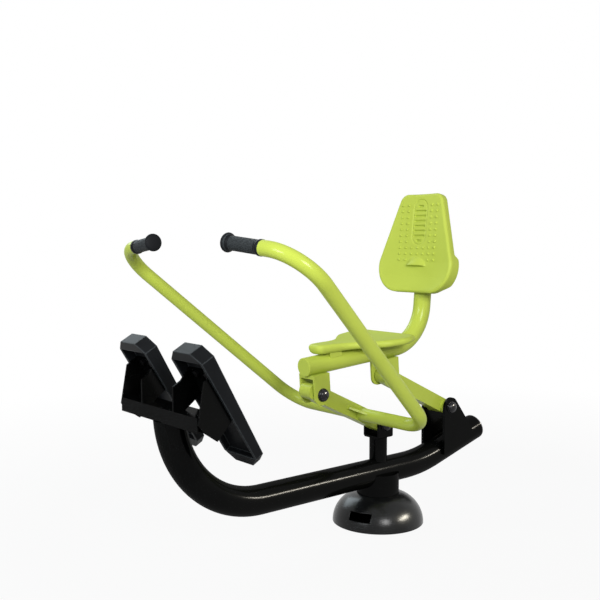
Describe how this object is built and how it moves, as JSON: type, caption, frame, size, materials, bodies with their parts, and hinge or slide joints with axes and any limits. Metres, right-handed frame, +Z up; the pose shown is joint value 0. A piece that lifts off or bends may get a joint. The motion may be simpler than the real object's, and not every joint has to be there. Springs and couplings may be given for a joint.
{
  "type": "outdoor rowing machine",
  "caption": "Outdoor rowing machine: a bent beam on a round base carries footrests, a swinging handle lever and a seat on a parallel linkage.",
  "frame": {"origin": "centre of the base flange, on the ground", "axes": "+X from the footrests towards the backrest, -Y to the rower's left, +Z up"},
  "size_m": [1.1155, 0.7438, 0.8975],
  "materials": {
    "black_paint": "gloss",
    "cover_black": "satin",
    "green_paint": "gloss",
    "green_shell": "gloss",
    "dark_rubber": "satin",
    "black_plastic": "gloss",
    "steel": "satin",
    "bushing": "satin"
  },
  "bodies": {
    "frame": {"ground_flange": "black_paint", "base_cover": "cover_black", "main_post": "black_paint", "main_beam": "black_paint", "beam_end_cap": "black_plastic", "pivot_post": "black_paint", "lever_yoke": "black_paint", "lever_pin": "steel", "lever_pin_caps": "black_plastic", "rear_plate_left": "black_paint", "rear_plate_right": "black_paint", "link_pin": "steel", "link_pin_caps": "black_plastic", "footrest_crossbar": "black_paint", "footrest_bracket_left": "black_paint", "footrest_bracket_right": "black_paint", "footrest_left": "dark_rubber", "footrest_right": "dark_rubber", "footrest_bolts": "steel", "footrest_nuts": "steel"},
    "lever": {"lever_tube": "green_paint", "lever_end_cap": "green_paint", "lever_hub": "green_paint", "lever_front_sleeve": "green_paint", "lever_bushing": "bushing", "lever_front_bushing": "bushing", "handle_tube": "green_paint", "handle_gussets": "green_paint", "grip_left": "dark_rubber", "grip_right": "dark_rubber"},
    "seat": {"seat_tube": "green_paint", "seat_tube_cap": "green_paint", "seat_post_plug": "green_paint", "front_clevis": "green_paint", "rear_clevis": "green_paint", "front_clevis_pin": "steel", "front_clevis_caps": "black_plastic", "rear_clevis_pin": "steel", "rear_clevis_caps": "black_plastic", "seat_mounts": "green_paint", "seat_shell": "green_shell", "back_bracket": "green_paint", "backrest": "green_shell"},
    "link": {"link_tube": "green_paint", "link_lower_hub": "green_paint", "link_upper_hub": "green_paint", "link_lower_bushing": "bushing", "link_upper_bushing": "bushing"}
  },
  "joints": [
    {"name": "lever_swing", "type": "hinge", "parent": "frame", "child": "lever", "pos_m": [0, 0, 0.268], "axis": [0, 1, 0], "range_deg": [0, 45]},
    {"name": "seat_tilt", "type": "hinge", "parent": "lever", "child": "seat", "pos_m": [-0.2271, 0, 0.37583], "axis": [0, 1, 0], "range_deg": [-45, 0]},
    {"name": "link_swing", "type": "hinge", "parent": "frame", "child": "link", "pos_m": [0.25172, 0, 0.28781], "axis": [0, 1, 0], "range_deg": [0, 45]}
  ],
  "couplings": [
    {"joint": "seat_tilt", "follows": "lever_swing", "ratio": -1},
    {"joint": "link_swing", "follows": "lever_swing", "ratio": 1}
  ]
}
